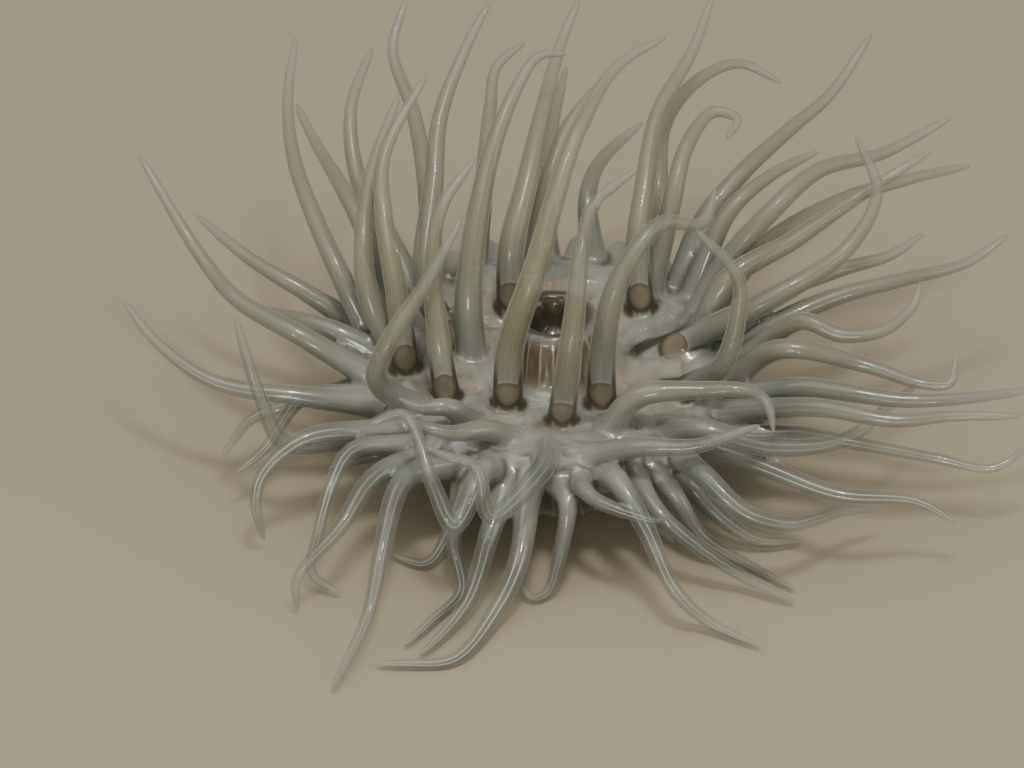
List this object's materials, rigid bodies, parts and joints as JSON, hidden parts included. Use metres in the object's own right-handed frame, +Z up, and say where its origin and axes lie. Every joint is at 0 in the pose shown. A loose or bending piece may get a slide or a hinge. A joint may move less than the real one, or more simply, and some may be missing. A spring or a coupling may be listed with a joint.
{
  "type": "sea anemone",
  "caption": "Still life-size model of a small translucent burrowing sea anemone, standing on its foot with slender tapered tentacles spread round a ribbed mouth",
  "frame": {"origin": "centre of the pedal disc's underside, on the floor", "axes": "+Z up, -Y the front that faces the viewer, +X to the viewer's right"},
  "size_m": [0.0651, 0.054, 0.0282],
  "materials": {
    "tentacle": "wet translucent flesh, milky grey-beige, paler towards the tips",
    "margin": "wet translucent flesh with brown marks at the roots of the tentacles",
    "disc": "wet translucent lilac-grey flesh with fine peach lines that run out from the mouth",
    "mouth": "wet brown flesh with pale ribs",
    "column": "wet dull grey-brown flesh"
  },
  "bodies": {
    "root": {"pedal_disc": "column", "column": "column", "oral_disc": "disc", "mouth": "mouth", "crown": "margin", "tentacle_back_1_end": "tentacle", "tentacle_back_1_middle": "tentacle", "tentacle_back_2": "tentacle", "tentacle_back_3": "tentacle", "tentacle_front_1": "tentacle", "tentacle_front_12": "tentacle", "tentacle_front_2": "tentacle", "tentacle_front_5": "tentacle", "tentacle_left_1": "tentacle", "tentacle_left_11": "tentacle", "tentacle_left_12": "tentacle", "tentacle_left_13": "tentacle", "tentacle_left_2": "tentacle", "tentacle_left_3": "tentacle", "tentacle_left_5": "tentacle", "tentacle_left_8": "tentacle", "tentacle_left_9": "tentacle", "tentacle_rear_1": "tentacle", "tentacle_rear_10": "tentacle", "tentacle_rear_11_end": "tentacle", "tentacle_rear_11_middle": "tentacle", "tentacle_rear_12_end": "tentacle", "tentacle_rear_12_middle": "tentacle", "tentacle_rear_14": "tentacle", "tentacle_rear_15": "tentacle", "tentacle_rear_16": "tentacle", "tentacle_rear_17": "tentacle", "tentacle_rear_2": "tentacle", "tentacle_rear_3": "tentacle", "tentacle_rear_4_end": "tentacle", "tentacle_rear_4_middle": "tentacle", "tentacle_rear_5": "tentacle", "tentacle_rear_6": "tentacle", "tentacle_rear_7": "tentacle", "tentacle_rear_8_end": "tentacle", "tentacle_rear_8_middle": "tentacle", "tentacle_rear_9": "tentacle", "tentacle_right_10": "tentacle", "tentacle_right_11": "tentacle", "tentacle_right_12": "tentacle", "tentacle_right_13": "tentacle", "tentacle_right_14": "tentacle", "tentacle_right_15": "tentacle", "tentacle_right_16": "tentacle", "tentacle_right_17": "tentacle", "tentacle_right_3": "tentacle", "tentacle_right_4_end": "tentacle", "tentacle_right_4_middle": "tentacle", "tentacle_right_5": "tentacle", "tentacle_right_6_end": "tentacle", "tentacle_right_6_middle": "tentacle", "tentacle_right_7": "tentacle", "tentacle_right_8": "tentacle", "tentacle_right_9": "tentacle"}
  },
  "joints": []
}
